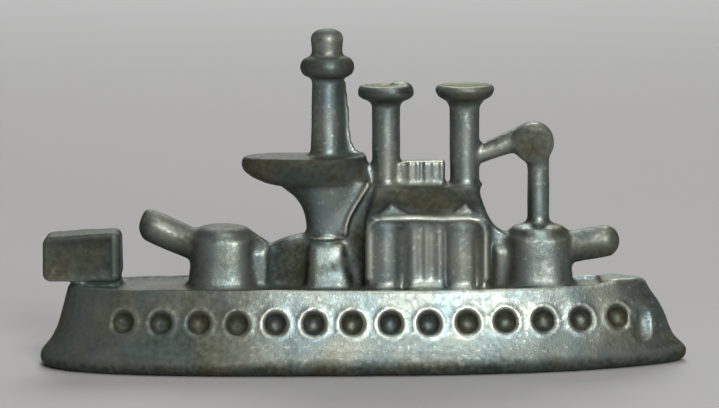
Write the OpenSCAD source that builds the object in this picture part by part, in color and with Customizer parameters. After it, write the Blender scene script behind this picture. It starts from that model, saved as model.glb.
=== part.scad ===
// Cast warship playing piece: a squat hull with a row of portholes along each
// side, a gun turret at each end, a tower with a bridge platform, mast and
// fighting top, a fluted deckhouse with two funnels, a crane and a stern flag.
// X runs to the bow, Z is up, and the origin is the centre of the hull's base.

/* [Hull] */
// Length of the hull along its base
hull_len = 34; // [32:0.5:40]
// Beam of the hull at its base
hull_beam = 9; // [8:0.25:12]
// Height of the hull from its base to the rail
hull_h = 4.25; // [3.75:0.25:6]
// Beam of the hull at the rail
rail_beam = 5.9; // [5.6:0.1:7]
// Lean of the stern from base to rail
stern_rake = 1.5; // [0.8:0.1:2]
// Lean of the bow from base to rail
bow_rake = 2.1; // [1.2:0.1:2.6]
// Rounding of the base edge
keel_r = 0.48; // [0.2:0.02:0.6]
// Rounding of the rail
rail_r = 0.18; // [0.08:0.02:0.26]
// Thickness of the bulwark beside the deck
bulwark_t = 0.42; // [0.3:0.02:0.5]
// Height of the bulwark above the deck
bulwark_h = 0.14; // [0.08:0.02:0.3]
// Thickness of the deck plate
deck_t = 0.4; // [0.3:0.05:0.8]
// Length of the solid forecastle at the rail
forecastle_len = 2.5; // [2:0.1:3]
// Rise of the forecastle above the rail
forecastle_rise = 0.22; // [0.06:0.02:0.4]

/* [Portholes] */
// Number of portholes on each side
port_count = 14; // [6:1:14]
// Spacing of the portholes along the side
port_pitch = 1.97; // [1.8:0.01:2]
// Place of the middle of the porthole row, forward of amidships
port_shift = 0.4; // [0:0.05:0.5]
// Diameter of a porthole's bowl
port_d = 1.35; // [0.9:0.05:1.4]
// Depth of a porthole's bowl
port_depth = 0.36; // [0.2:0.02:0.48]
// Height of the porthole row above the base
port_z = 2.7; // [2.4:0.05:2.9]
// Width of the raised lip round a porthole
lip_w = 0.18; // [0.1:0.02:0.24]
// Height of the raised lip above the side
lip_h = 0.07; // [0.03:0.01:0.12]
// Width of the hawse recess at the bow
hawse_d = 0.95; // [0.6:0.05:1.1]
// Length of the hawse recess
hawse_len = 1.7; // [1.4:0.05:1.9]
// Depth of the hawse recess
hawse_depth = 0.3; // [0.15:0.05:0.35]

/* [Turrets] */
// Radius of a turret at its foot
turret_r = 1.56; // [1.3:0.02:1.65]
// Radius of a turret where its roof starts
turret_top_r = 1.44; // [1.2:0.02:1.55]
// Height of a turret's wall
turret_wall_h = 2.7; // [2.4:0.05:2.9]
// Height of a turret's low roof
turret_roof_h = 0.5; // [0.4:0.05:0.7]
// Reach of a turret's rear block from its axis
block_len = 2.45; // [2.2:0.05:2.6]
// Width of a turret's rear block
block_w = 2.1; // [1.6:0.05:2.3]
// Height of the rear block beside the turret
block_h = 3.05; // [2.7:0.05:3.1]
// Height of the rear block at its far end
block_end_h = 2.25; // [1.8:0.05:2.5]
// Height of the rear block's side face
block_side_h = 1.85; // [1.5:0.05:2.1]

/* [Guns] */
// Diameter of the aft gun
aft_gun_d = 1.3; // [0.9:0.02:1.5]
// Diameter of the fore gun
fore_gun_d = 1.44; // [0.9:0.02:1.6]
// Length of the aft gun from its turret's axis to its muzzle
aft_gun_len = 4.65; // [3.8:0.05:5]
// Length of the fore gun from its turret's axis to its muzzle
fore_gun_len = 4.3; // [3.6:0.05:4.8]
// Height of a gun's trunnion above the deck
trunnion_h = 1.7; // [1.5:0.05:1.9]
// Elevation of the aft gun
aft_gun_angle = 23.5; // [5:0.5:35]
// Elevation of the fore gun
fore_gun_angle = 9.5; // [0:0.5:30]

/* [Flag] */
// Length of the flag
flag_len = 4.05; // [3:0.05:4.5]
// Height of the flag
flag_h = 2.6; // [2:0.05:3.2]
// Thickness of the flag
flag_t = 2.1; // [1.4:0.05:2.4]
// Rounding of the flag's corners
flag_corner_r = 0.42; // [0.2:0.02:0.6]
// Width of the border round the flag's field
flag_border = 0.34; // [0.2:0.02:0.5]
// Depth of the sunk field
field_depth = 0.32; // [0.2:0.02:0.5]
// Overhang of the flag past the stern rail
flag_overhang = 1.2; // [0.6:0.1:1.6]
// Height of the flag's foot above the deck
flag_foot_h = 0.36; // [0.25:0.02:0.6]
// Length of the flag's foot
flag_foot_len = 2.3; // [1.8:0.1:2.6]
// Width of the flag's foot
flag_foot_w = 1.7; // [1.2:0.1:2]

/* [Tower] */
// Place of the tower's axis along the hull, from amidships
tower_x = -1.95; // [-2.4:0.05:-1.6]
// Radius of the tower's base
tower_r = 1.22; // [1:0.02:1.4]
// Height of the tower's base
tower_h = 2.4; // [2:0.05:2.8]
// Radius of the pedestal's waist
waist_r = 1.02; // [0.8:0.02:1.1]
// Radius of the pedestal under the platform
pedestal_top_r = 1.84; // [1.4:0.02:1.9]
// Height of the pedestal
pedestal_h = 2.9; // [2.4:0.05:3.4]
// Length of the bridge platform
platform_len = 6.6; // [5.6:0.1:7]
// Width of the bridge platform
platform_w = 3.3; // [2.8:0.1:4]
// Thickness of the bridge platform
platform_t = 1.5; // [1:0.05:1.8]
// Reach of the platform forward of the tower's axis
platform_fore = 2.2; // [1.9:0.05:2.4]

/* [Mast] */
// Place of the mast forward of the tower's axis
mast_x = 0.12; // [0:0.02:0.4]
// Radius of the mast at its foot
mast_r = 0.88; // [0.6:0.02:1]
// Radius of the mast under the fighting top
mast_top_r = 0.8; // [0.5:0.02:0.9]
// Height of the mast
mast_h = 4.1; // [3:0.1:6]
// Thickness of the fin on the mast's fore side
fin_t = 0.16; // [0.1:0.02:0.3]
// Reach of the fin's foot forward of the mast's axis
fin_reach = 1.75; // [1.5:0.05:1.8]
// Radius of the fighting top
top_r = 1.42; // [1.1:0.02:1.8]
// Thickness of the fighting top
top_t = 1.08; // [0.7:0.02:1.4]
// Radius of the lookout drum
lookout_r = 0.85; // [0.6:0.01:1]
// Height of the lookout drum
lookout_h = 1.45; // [1:0.05:2.2]

/* [Deckhouse] */
// Gap between the tower's base and the deckhouse
house_gap = 0.85; // [0.6:0.05:1.2]
// Length of the deckhouse
house_len = 6.4; // [5.9:0.05:6.7]
// Width of the deckhouse over its ribs
house_w = 4.7; // [3.8:0.05:4.75]
// Height of the deckhouse walls
house_h = 3.65; // [3:0.05:4]
// Depth of the grooves between the ribs
groove_depth = 0.26; // [0.15:0.01:0.4]
// Thickness of the eave
eave_t = 0.24; // [0.15:0.01:0.35]
// Overhang of the eave past the ribs
eave_out = 0.08; // [0.04:0.01:0.2]
// Height of the hipped roof above the eave
roof_h = 1.6; // [1.2:0.05:2]
// Width of the upper deck on top of the roof
upper_deck_w = 1.9; // [1.8:0.05:2.4]
// Run of the roof's hips at each end
hip_run = 0.55; // [0.4:0.05:0.8]
// Gap between the skylight and the foot of each funnel
skylight_gap = 0.02; // [0:0.01:0.2]
// Width of the skylight over its ribs
skylight_w = 1.3; // [0.9:0.05:1.6]
// Height of the skylight
skylight_h = 1.3; // [0.8:0.05:1.8]
// Thickness of the walls that join the tower to its neighbours
web_t = 1.1; // [0.8:0.05:1.4]
// Height of the low wall between the aft turret and the tower
low_wall_h = 2.75; // [2.2:0.05:3]

/* [Funnels] */
// Radius of the aft funnel
aft_funnel_r = 0.75; // [0.6:0.01:0.85]
// Radius of the fore funnel
fore_funnel_r = 0.84; // [0.6:0.01:0.95]
// Radius of the aft funnel's cap
aft_cap_r = 1.46; // [1.1:0.02:1.6]
// Radius of the fore funnel's cap
fore_cap_r = 1.56; // [1.2:0.02:1.7]
// Height of a funnel up to its cap
funnel_h = 4.15; // [3:0.05:5]
// Height of a funnel's cap
cap_h = 1.1; // [0.8:0.05:1.5]
// Depth of the dish in the top of a cap
cap_dish = 0.12; // [0.06:0.02:0.24]
// Radius of the swell on the aft cap
swell_r = 0.6; // [0.4:0.05:0.65]
// Height of the swell above the dish
swell_h = 0.3; // [0.2:0.02:0.4]

/* [Crane] */
// Radius of the crane's post
post_r = 0.57; // [0.4:0.01:0.65]
// Height of the post from the turret's roof to the crane head's centre
post_h = 4.25; // [3.6:0.05:4.8]
// Radius of the crane's head
head_r = 1.08; // [0.9:0.02:1.3]
// Width of the crane's head
head_w = 1.5; // [1.2:0.05:1.8]
// Place of the head's centre aft of the post's axis
head_x = 0.26; // [0.2:0.02:0.6]
// Radius of the jib at the head
jib_r = 0.64; // [0.5:0.01:0.7]
// Radius of the jib at the funnel
jib_end_r = 0.38; // [0.3:0.01:0.5]
// Height of the jib's end on the funnel, above the upper deck
jib_end_h = 1.4; // [1.2:0.05:2.2]

/* [Hidden] */

// Exponents of the hull's plan curves, ahead of and behind amidships
bow_powers = [2.3, 0.65];
stern_powers = [3.2, 0.4];
// Part of the side's spread that lies in the flare close above the base
flare_share = 0.38;
flare_power = 5;
// The base edge curls in past upright by this angle
keel_curl = 45;
plan_points = 64;
side_steps = 6;
arc_steps = 6;
// Facets round a large, a middling and a small curve
large_facets = 72;
middle_facets = 48;
small_facets = 32;
// Extra reach of a cutting shape past what it cuts
over = 0.5;
// Length over which the rail climbs to the forecastle
climb_len = 1.2;
// Depth to which lips are rooted in the side
lip_root = 0.25;
// Flare of a column's foot
foot_flare = 0.26;
edge_r = 0.12;

deck_z = hull_h - bulwark_h;
roof_z = deck_z + house_h;
upper_z = roof_z + roof_h;
platform_z = deck_z + tower_h + pedestal_h;
mast_z = platform_z + platform_t;
top_z = mast_z + mast_h;
lookout_z = top_z + top_t;
house_x = tower_x + tower_r + house_gap;
house_end = house_x + house_len;
// Clear gap between neighbouring deck fittings that nearly meet
fitting_gap = 0.2;
fore_turret_x = house_end + fitting_gap + block_len;
stern_x = hull_len / 2 - stern_rake;
bow_x = hull_len / 2 - bow_rake;
flag_x = -stern_x - flag_overhang;
flag_end = flag_x + flag_len;
// Rounding of a muzzle's edge as a share of the barrel's radius
aft_muzzle_share = 0.45;
fore_muzzle_share = 0.85;
aft_muzzle_r = aft_muzzle_share * aft_gun_d / 2;
aft_gun_reach = (aft_gun_len - aft_muzzle_r) * cos(aft_gun_angle)
    + (aft_gun_d / 2 - aft_muzzle_r) * sin(aft_gun_angle) + aft_muzzle_r;
// The aft turret leaves this share of the free deck to its gun and the rest to the low wall
gun_free_share = 0.34;
aft_free = tower_x - tower_r - block_len - aft_gun_reach - flag_end;
aft_turret_x = flag_end + aft_gun_reach + gun_free_share * aft_free;
turret_to_tower = tower_x - aft_turret_x;
turret_top_z = deck_z + turret_wall_h + turret_roof_h;
// Distance of a funnel's axis in from the end of the upper deck
funnel_inset = 0.55;
aft_funnel_x = house_x + hip_run + funnel_inset;
fore_funnel_x = house_end - hip_run - funnel_inset;
post_x = fore_turret_x;
head_z = turret_top_z + post_h;

function lerp(a, b, t) = a + (b - a) * t;
function smooth(t) = let (c = min(max(t, 0), 1)) c * c * (3 - 2 * c);

// Share of the full half beam at a share s of the length ahead of amidships
function plan_share(s) = let (p = s > 0 ? bow_powers : stern_powers)
    pow(max(0, 1 - pow(abs(s), p[0])), p[1]);

// Closed outline that reaches aft and fore of amidships, with a given half beam
function plan(aft, fore, half) = [for (i = [0 : plan_points - 1])
    let (a = 360 * i / plan_points, s = cos(a))
    [(s > 0 ? fore : aft) * s, sign(round(sin(a) * plan_points)) * half * plan_share(s)]];

// How far the side stands out at a share t of its height: 1 at the base, 0 at the rail
function flare(t) = (1 - flare_share) * (1 - t) + flare_share * pow(1 - t, flare_power);

// The side runs from the top of the base edge's curl to the foot of the rail's rounding
side_z0 = keel_r * (1 + sin(keel_curl));
side_z1 = hull_h - rail_r;
keel_in = keel_r * (1 - cos(keel_curl));

// Reach of the side at a share of its flare, from its reach at the base and at the rail
function reach(base, rail, f) = rail + (base - keel_in - rail) * f;
function side_reach(z) = let (f = flare((z - side_z0) / (side_z1 - side_z0)))
    [reach(hull_len / 2, stern_x, f), reach(hull_len / 2, bow_x, f),
        reach(hull_beam / 2, rail_beam / 2, f)];
function side_y(x, z) = let (r = side_reach(z)) r[2] * plan_share(x / (x > 0 ? r[1] : r[0]));

// Slopes of the side along X and Z, and the unit normal that follows from them
slope_step = 0.02;
function slope_x(x, z) = (side_y(x + slope_step, z) - side_y(x - slope_step, z)) / (2 * slope_step);
function slope_z(x, z) = (side_y(x, z + slope_step) - side_y(x, z - slope_step)) / (2 * slope_step);
function side_normal(x, z) = let (n = [-slope_x(x, z), 1, -slope_z(x, z)]) n / norm(n);

// Walks along the side from x in even steps of arc, so that the portholes keep their pitch
function walk(x, z, step) = x + step / sqrt(1 + pow(slope_x(x, z), 2));
function walk_n(x, z, step, n) = n < 1 ? x : walk_n(walk(x, z, step), z, step, n - 1);
port_half = port_pitch / 2;
port_xs = [for (k = [0 : port_count - 1]) let (m = k - (port_count - 1) / 2, d = sign(m))
    d == 0 ? port_shift : port_count % 2 == 0
        ? walk_n(walk(port_shift, port_z, d * port_half), port_z, d * port_pitch, abs(m) - 1 / 2)
        : walk_n(port_shift, port_z, d * port_pitch, abs(m))];

// Rings of the hull's skin: its height, its reach aft, fore and abeam, and how it rises forward
function skin(z, base_in, r, rise) = [z, r[0] - base_in, r[1] - base_in, r[2] - base_in, rise];
hull_base = [hull_len / 2, hull_len / 2, hull_beam / 2];
hull_rail = [stern_x, bow_x, rail_beam / 2];
hull_skin = concat(
    [for (k = [0 : arc_steps]) let (a = lerp(-90, keel_curl, k / arc_steps))
        skin(keel_r * (1 + sin(a)), keel_r * (1 - cos(a)), hull_base, 0)],
    [for (k = [1 : side_steps]) let (z = lerp(side_z0, side_z1, k / side_steps))
        skin(z, 0, side_reach(z), pow(k / side_steps, 2) * forecastle_rise)],
    [for (k = [1 : arc_steps]) let (a = 90 * k / arc_steps)
        skin(side_z1 + rail_r * sin(a), rail_r * (1 - cos(a)), hull_rail, forecastle_rise)]);
forecastle_x = bow_x - forecastle_len;
function ring_of(s) = [for (p = plan(s[1], s[2], s[3]))
    [p[0], p[1], s[0] + s[4] * smooth((p[0] - forecastle_x) / climb_len + 1 / 2)]];

// Points of a quarter arc: hollow foot, rounded shoulder and a curve that sags from its chord
function cove(r, f) = concat([[r + f, 0]], [for (k = [1 : arc_steps]) let (a = 90 * k / arc_steps)
    [r + f * (1 - sin(a)), f * (1 - cos(a))]]);
function shoulder(r, z, e) = [for (k = [0 : arc_steps]) let (a = 90 * k / arc_steps)
    [r - e * (1 - cos(a)), z - e * (1 - sin(a))]];
function sag(a, b, depth) = let (d = b - a, n = [d[1], -d[0]] / norm(d))
    [for (k = [0 : arc_steps]) a + d * k / arc_steps + n * depth * sin(180 * k / arc_steps)];
function reversed(points) = [for (k = [len(points) - 1 : -1 : 0]) points[k]];
function mirrored(points) = [for (k = [len(points) - 1 : -1 : 0]) [-points[k][0], points[k][1]]];

// Hollow of the roof's slopes, and the line of its hip at the fore end of the deckhouse
roof_hollow = 0.25;
hip_hollow = 0.05;
hip_curve = sag([house_len, 0], [house_len - hip_run, roof_h], -hip_hollow);

// Closed skin over a stack of rings that are alike and symmetric about Y
module loft(rings) {
    n = len(rings[0]);
    m = len(rings);
    polyhedron(points = [for (r = rings) each r], faces = concat(
        [for (i = [0 : n / 2 - 1]) each strip(0, i, n, false)],
        [for (k = [0 : m - 2], i = [0 : n - 1]) let (a = k * n + i, d = k * n + (i + 1) % n)
            each [[a, a + n, d + n], [a, d + n, d]]],
        [for (i = [0 : n / 2 - 1]) each strip((m - 1) * n, i, n, true)]));
}
// Two triangles across a ring between points i and i + 1 and their mirror images
function strip(at, i, n, up) = let (a = at + i, b = at + i + 1, c = at + n - i - 1, d = at + (n - i) % n)
    [for (f = [[a, b, c], [a, c, d]]) if (f[0] != f[1] && f[1] != f[2] && f[0] != f[2])
        up ? [f[2], f[1], f[0]] : f];

module turned(points) rotate_extrude($fn = large_facets) polygon(points);
module place_on_side(x, z, side) {
    n = side_normal(x, z);
    translate([x, side * side_y(x, z), z])
        rotate([0, acos(n[2]), atan2(side * n[1], n[0])]) children();
}

// Radius of a bowl from the radius of its mouth and its depth
function bowl_r(mouth, depth) = (mouth * mouth + depth * depth) / (2 * depth);
module both_sides() for (side = [-1, 1]) {
    $side = side;
    children();
}

module deck_plan() intersection() {
    polygon(plan(stern_x - bulwark_t, bow_x - bulwark_t, rail_beam / 2 - bulwark_t));
    translate([-hull_len, -hull_beam / 2]) square([hull_len + forecastle_x, hull_beam]);
}

// Place of the hawse recess: how far it stands past the rail's bow end, and its height
hawse_back_share = 0.33;
hawse_z_share = 0.5;
module hawse() {
    x = bow_x - hawse_len * hawse_back_share;
    z = hull_h * hawse_z_share;
    r = bowl_r(hawse_d / 2, hawse_depth);
    place_on_side(x, z, $side) translate([0, 0, r - hawse_depth]) {
        for (d = [-1, 1]) translate([d * (hawse_len - hawse_d) / 2, 0, 0])
            sphere(r = r, $fn = middle_facets);
        rotate([0, 90, 0])
            cylinder(h = hawse_len - hawse_d, r = r, center = true, $fn = middle_facets);
    }
}

module ship_hull() color("slategray") difference() {
    union() {
        loft([for (s = hull_skin) ring_of(s)]);
        both_sides() for (x = port_xs) place_on_side(x, port_z, $side)
            translate([0, 0, -lip_root])
                cylinder(h = lip_root + lip_h, r1 = port_d / 2 + lip_w, r2 = port_d / 2, $fn = small_facets);
    }
    both_sides() {
        r = bowl_r(port_d / 2, port_depth);
        for (x = port_xs) place_on_side(x, port_z, $side)
            translate([0, 0, r - port_depth]) sphere(r = r, $fn = small_facets);
        hawse();
    }
    translate([0, 0, deck_z - deck_t]) linear_extrude(hull_h) deck_plan();
    for (x = [aft_turret_x, fore_turret_x]) translate([x, 0, deck_z])
        cylinder(h = hull_h, r = turret_r + foot_flare, $fn = large_facets);
}

module main_deck() color("darkgray")
    translate([0, 0, deck_z - deck_t]) linear_extrude(deck_t) deck_plan();

module flag_foot() color("slategray") translate([flag_foot_x, 0, deck_z]) difference() {
    linear_extrude(flag_foot_h) square([flag_foot_len, flag_foot_w], center = true);
    both_sides() translate([0, $side * (flag_foot_w / 2), flag_foot_h]) rotate([0, 90, 0])
        cylinder(h = flag_foot_len + over, r = flag_foot_h / 2, center = true, $fn = small_facets);
}
flag_foot_x = -stern_x + bulwark_t + flag_foot_len / 2 + edge_r;

// Waves of the flag's sunk field, across its length
field_waves = 2;
wave_share = 0.3;
wave_steps = 20;
module field(l, h) linear_extrude(h) polygon(concat([[l / 2, over], [-l / 2, over]],
    [for (k = [0 : wave_steps]) let (t = k / wave_steps)
        [lerp(-l / 2, l / 2, t), -field_depth * (1 - wave_share * (1 + sin(360 * field_waves * t)) / 2)]]));

module stern_flag() color("dimgray")
    translate([flag_x + flag_len / 2, 0, deck_z + flag_foot_h]) difference() {
        union() {
            flag_core(flag_t - 2 * edge_r, 0);
            flag_core(flag_t, edge_r);
        }
        for (turn = [0, 180]) rotate([0, 0, turn]) translate([0, flag_t / 2, flag_border])
            field(flag_len - 2 * flag_border, flag_h - 2 * flag_border);
    }
module flag_core(t, inset) rotate([90, 0, 0]) linear_extrude(t, center = true)
    polygon([for (q = [0 : 3], k = [0 : arc_steps]) let (a = 90 * (q + k / arc_steps),
            r = flag_corner_r - inset, x = flag_len / 2 - flag_corner_r, z = flag_h / 2 - flag_corner_r)
        [(q == 0 || q == 3 ? x : -x) + r * cos(a), flag_h / 2 + (q < 2 ? z : -z) + r * sin(a)]]);

// Outline of a turret's wall and low roof, whose rounded edge stands out past the wall
roof_lip = 0.06;
roof_edge_r = 0.18;
roof_edge_start = -acos(1 - roof_lip / roof_edge_r);
roof_edge_h = roof_edge_r * (1 - sin(roof_edge_start));
turret_profile = concat([[0, 0]], cove(turret_r, foot_flare),
    [for (k = [0 : arc_steps]) let (a = lerp(roof_edge_start, 90, k / arc_steps))
        [turret_top_r + roof_lip - roof_edge_r * (1 - cos(a)),
            turret_wall_h + roof_edge_r * (sin(a) - sin(roof_edge_start))]],
    [for (k = [1 : arc_steps]) let (a = 90 * k / arc_steps)
        [(turret_top_r + roof_lip - roof_edge_r) * cos(a),
            turret_wall_h + lerp(roof_edge_h, turret_roof_h, sin(a))]]);

module rear_block() intersection() {
    rotate([90, 0, 0]) linear_extrude(block_w, center = true)
        polygon([[0, 0], [block_len, 0], [block_len, block_end_h - edge_r],
            [block_len - edge_r, block_end_h], [turret_top_r, block_h], [0, block_h]]);
    rotate([90, 0, 90]) linear_extrude(block_len)
        polygon([[-block_w / 2, 0], [block_w / 2, 0], [block_w / 2, block_side_h],
            [0, block_side_h + block_w / 2], [-block_w / 2, block_side_h]]);
    linear_extrude(block_h) union() {
        translate([0, -block_w / 2]) square([block_len - block_r, block_w]);
        for (s = [-1, 1]) translate([block_len - block_r, s * (block_w / 2 - block_r)])
            circle(r = block_r, $fn = small_facets);
        translate([0, block_r - block_w / 2]) square([block_len, block_w - 2 * block_r]);
    }
}
block_r = 0.4;

// A turret whose rear block points along +X
module turret() {
    turned(turret_profile);
    rear_block();
}
module aft_turret() color("gray") translate([aft_turret_x, 0, deck_z]) turret();
// Centre wall from the fore turret's block up to the deckhouse's eave, with a dip in its top
fore_web_share = 0.85;
saddle = 0.2;
module fore_web() rotate([90, 0, 0]) linear_extrude(web_t, center = true)
    polygon(concat([[block_len + fitting_gap, 0], [turret_top_r, 0]],
        sag([turret_top_r, block_h * fore_web_share], [block_len + fitting_gap, house_h], saddle)));
module fore_turret() color("gray") translate([fore_turret_x, 0, deck_z]) mirror([1, 0, 0]) {
    turret();
    fore_web();
}

// A barrel along +X from its trunnion, with the muzzle's edge rounded by e
module barrel(r, e, length) rotate([0, 90, 0])
    turned(concat([[0, 0], [r, 0]], shoulder(r, length, e), [[0, length]]));
module aft_gun() color("lightgray") difference() {
    translate([aft_turret_x, 0, deck_z + trunnion_h]) rotate([0, 0, 180])
        rotate([0, -aft_gun_angle, 0]) barrel(aft_gun_d / 2, aft_muzzle_r, aft_gun_len);
    aft_turret();
    below_cut(aft_turret_x);
}
module fore_gun() color("lightgray") difference() {
    translate([fore_turret_x, 0, deck_z + trunnion_h]) rotate([0, -fore_gun_angle, 0])
        barrel(fore_gun_d / 2, fore_muzzle_share * fore_gun_d / 2, fore_gun_len);
    fore_turret();
    below_cut(fore_turret_x);
}
// Clears the inboard remains of a barrel once its turret has been cut away
module below_cut(x) translate([x, 0, deck_z])
    cylinder(h = turret_wall_h, r = turret_top_r, $fn = large_facets);

// Tower: a drum with a flared foot, a neck, and a trumpet that opens upward over a bead
tower_flare = 0.4;
drum_share = 0.76;
waist_bead = 0.14;
pedestal_hollow = -0.16;
tower_profile = concat([[0, 0]], cove(tower_r, tower_flare),
    shoulder(tower_r, tower_h * drum_share, edge_r), [[waist_r, tower_h * drum_share], [waist_r, tower_h]]);
pedestal_profile = concat(
    [for (k = [1 : arc_steps]) let (a = lerp(-90, 90, k / arc_steps))
        [waist_r + waist_bead * cos(a), waist_bead * (1 + sin(a))]],
    sag([waist_r, 2 * waist_bead + edge_r], [pedestal_top_r, pedestal_h], pedestal_hollow), [[0, pedestal_h]]);
tower_outline = concat(tower_profile, [for (p = pedestal_profile) [p[0], p[1] + tower_h]]);
module tower_base() color("slategray") translate([tower_x, 0, deck_z])
    turned(concat(tower_profile, [[0, tower_h]]));
module tower_pedestal() color("gray") translate([tower_x, 0, deck_z + tower_h])
    turned(concat([[0, 0], [waist_r, 0]], pedestal_profile));

// Low centre wall from the aft turret's rear block to the tower, with a crest in its top
crest = 0.1;
module low_wall() color("dimgray") difference() {
    translate([aft_turret_x, 0, deck_z]) rotate([90, 0, 0]) linear_extrude(web_t, center = true)
        polygon(concat([[turret_to_tower, 0], [block_len, 0]],
            sag([block_len, block_end_h - edge_r], [turret_to_tower - waist_r, low_wall_h], -crest),
            [[turret_to_tower, low_wall_h]]));
    translate([tower_x, 0, deck_z]) turned(tower_outline);
}

// Levels of the platform: share of its height, and of its aft reach, fore reach and width there
platform_shares = [[0, 0.58, 0.9, 0.86], [0.1, 0.73, 0.93, 0.9], [0.28, 0.87, 0.96, 0.94],
    [0.5, 0.97, 0.98, 0.97], [0.72, 1, 0.995, 0.99], [0.92, 0.985, 1, 1], [1, 0.955, 0.985, 0.97]];
module bridge_platform() color("dimgray") translate([tower_x, 0, platform_z])
    loft([for (s = platform_shares) [for (p = plan((platform_len - platform_fore) * s[1],
        platform_fore * s[2], platform_w * s[3] / 2)) [p[0], p[1], platform_t * s[0]]]]);

// Round mast with a thin fin on its fore side; the fin's places are shares of its reach and height
fin_shares = [[1, 0], [1, 0.02], [0.74, 0.045], [0.59, 0.2], [0.54, 0.58], [0.43, 0.97], [0, 0.97]];
module mast() color("gray") translate([tower_x + mast_x, 0, mast_z]) {
    turned(concat([[0, 0]], cove(mast_r, foot_flare), [[mast_top_r, mast_h], [0, mast_h]]));
    rotate([90, 0, 0]) linear_extrude(fin_t, center = true)
        polygon(concat([[0, 0]], [for (s = fin_shares) [fin_reach * s[0], mast_h * s[1]]]));
}

module fighting_top() color("dimgray") translate([tower_x + mast_x, 0, top_z])
    turned(concat([[0, 0]], [for (k = [0 : 2 * arc_steps]) let (a = lerp(-90, 90, k / (2 * arc_steps)))
        [top_r - top_t * top_round_share * (1 - cos(a)), top_t * (1 + sin(a)) / 2]], [[0, top_t]]));
top_round_share = 0.45;

module lookout() color("gray") translate([tower_x + mast_x, 0, lookout_z])
    turned(concat([[0, 0]], cove(lookout_r - edge_r / 2, edge_r),
        [for (k = [0 : arc_steps]) let (a = 90 * k / arc_steps)
            [lookout_r * lerp(1, cos(a), lookout_round_share) * (k < arc_steps ? 1 : 0),
                lerp(lookout_h - lookout_dome, lookout_h, sin(a))]]));
lookout_round_share = 0.9;
lookout_dome = 0.5;

// Centre wall that fills the gap between the tower and the deckhouse, up to the upper deck
module tower_wall() color("dimgray") difference() {
    intersection() {
        translate([0, 0, deck_z]) rotate([90, 0, 0]) linear_extrude(web_t, center = true)
            polygon(concat([[tower_x, 0], [house_x, 0]],
                [for (p = hip_curve) [house_x + house_len - p[0], house_h + p[1]]],
                [[tower_x, house_h + roof_h]]));
        translate([tower_x, -web_t, 0])
            cube([house_len, 2 * web_t, platform_z < upper_z ? platform_z : upper_z + over]);
    }
    translate([tower_x, 0, deck_z]) turned(tower_outline);
}

// Middle and width of each rib on a deckhouse wall, as shares of the wall's length
rib_shares = [[-0.46, 0.05], [-0.336, 0.16], [-0.117, 0.09], [-0.006, 0.072], [0.098, 0.088],
    [0.273, 0.18], [0.455, 0.065]];
// A rib stands out square to the wall with rounded edges, which take at most this share of its width
rib_round_share = 0.45;
module rib(w) {
    r = min(groove_depth, w * rib_round_share);
    for (d = [-1, 1]) translate([d * (w / 2 - r), -r]) circle(r = r, $fn = small_facets);
    translate([r - w / 2, -groove_depth]) square([w - 2 * r, groove_depth]);
    translate([-w / 2, -groove_depth - over]) square([w, groove_depth + over - r]);
}
module deckhouse() color("slategray") translate([house_x, 0, deck_z]) {
    linear_extrude(house_h) {
        translate([0, -house_w / 2 + groove_depth]) square([house_len, house_w - 2 * groove_depth]);
        for (s = rib_shares, side = [0, 1]) translate([house_len * (s[0] + 1 / 2), 0])
            mirror([0, side]) translate([0, house_w / 2]) rib(house_len * s[1]);
    }
    translate([0, -house_w / 2, house_h - eave_t]) cube([house_len, house_w, eave_t]);
}

module deckhouse_roof() color("dimgray") translate([house_x, 0, roof_z]) intersection() {
    rotate([90, 0, 90]) linear_extrude(house_len) polygon(let (half = concat(
        [[house_w / 2 + eave_out, 0], [house_w / 2 + eave_out, eave_t / 2]],
        sag([house_w / 2, eave_t], [upper_deck_w / 2, roof_h], -roof_hollow)))
        concat(half, mirrored(half)));
    rotate([90, 0, 0]) linear_extrude(house_w + over, center = true)
        polygon(concat(hip_curve, [for (p = mirrored(hip_curve)) [p[0] + house_len, p[1]]]));
}

skylight_ribs = 5;
skylight_groove = 0.16;
skylight_from = aft_funnel_x + aft_funnel_r + foot_flare + skylight_gap;
skylight_len = fore_funnel_x - fore_funnel_r - foot_flare - skylight_gap - skylight_from;
module skylight() color("lightgray") translate([skylight_from + skylight_len / 2, 0, upper_z])
    linear_extrude(skylight_h) {
        square([skylight_len, skylight_w - 2 * skylight_groove], center = true);
        for (k = [0 : skylight_ribs - 1], side = [-1, 1]) {
            pitch = skylight_len / skylight_ribs;
            translate([pitch * (k - (skylight_ribs - 1) / 2), side * (skylight_w / 2 - skylight_groove)])
                circle(r = min(skylight_groove, pitch / 2), $fn = small_facets);
        }
    }

module funnel(r, h) turned(concat([[0, 0]], cove(r, foot_flare), [[r, h], [0, h]]));
// Trumpet cap with a rounded rim and a dished top
cap_hollow = 0.06;
cap_rim_r = cap_h / 4;
cap_rim_start = -60;
module cap(r, cap_radius) turned(concat([[0, 0]],
    sag([r, 0], [cap_radius - cap_rim_r, cap_h - 2 * cap_rim_r], -cap_hollow),
    [for (k = [1 : arc_steps]) let (a = lerp(cap_rim_start, 90, k / arc_steps))
        [cap_radius - cap_rim_r * (1 - cos(a)), cap_h - cap_rim_r * (1 - sin(a))]],
    [[r, cap_h - cap_dish], [0, cap_h - cap_dish]]));

module aft_funnel() color("gray") translate([aft_funnel_x, 0, upper_z]) funnel(aft_funnel_r, funnel_h);
module fore_funnel() color("gray") translate([fore_funnel_x, 0, upper_z]) funnel(fore_funnel_r, funnel_h);
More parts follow.
